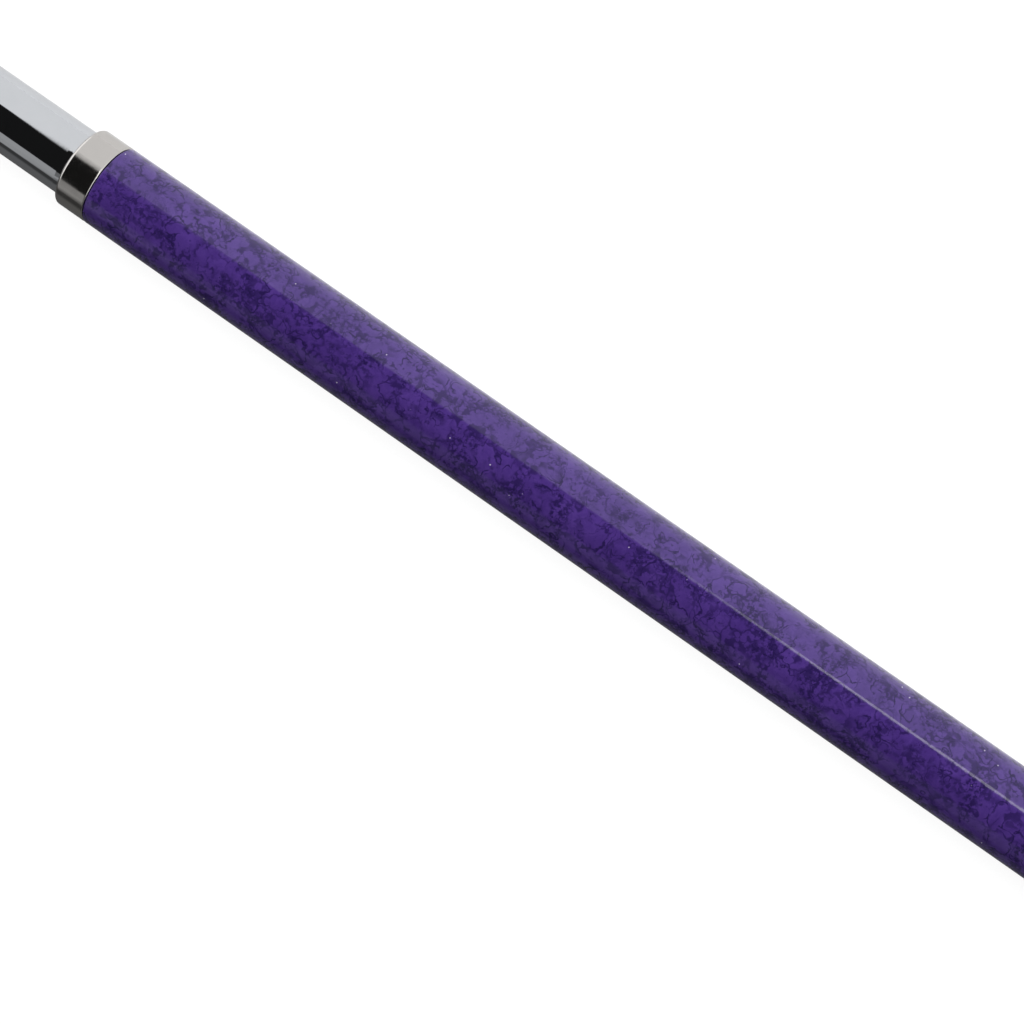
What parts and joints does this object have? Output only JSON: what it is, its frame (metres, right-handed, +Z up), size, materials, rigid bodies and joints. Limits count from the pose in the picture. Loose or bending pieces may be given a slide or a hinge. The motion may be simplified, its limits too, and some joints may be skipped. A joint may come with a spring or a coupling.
{
  "type": "acrylic nail brush",
  "caption": "Slim nail brush with a marbled lacquer metal handle, a nickel collar, a chromed ferrule and a pointed hair tuft that bends, for shaping acrylic on nails.",
  "frame": {"origin": "on the table under the middle of the brush's length, as it lies on its side", "axes": "+X along the brush towards its tail, with the hair tuft at -X; +Y across it; +Z up"},
  "size_m": [0.1852, 0.009, 0.009],
  "materials": {
    "marbled_lacquer": "gloss",
    "nickel": "polished",
    "ferrule_chrome": "polished",
    "white_plastic": "matte",
    "amber_resin": "gloss",
    "sable_hair": "satin",
    "thread": "matte"
  },
  "bodies": {
    "brush": {"handle_tube": "marbled_lacquer", "collar_ring": "nickel", "ferrule": "ferrule_chrome", "ferrule_joiner": "white_plastic", "resin_plug": "amber_resin", "hair_root": "sable_hair", "root_lashing": "thread", "tail_cap": "nickel", "tail_bung": "white_plastic"},
    "tuft": {"hair_tuft": "sable_hair"}
  },
  "joints": [
    {"name": "tuft_bend", "type": "hinge", "parent": "brush", "child": "tuft", "pos_m": [-0.07205, 0, 0.0045], "axis": [0, 0, 1], "range_deg": [-30, 30], "stiffness_Nm_per_rad": 0.003}
  ]
}
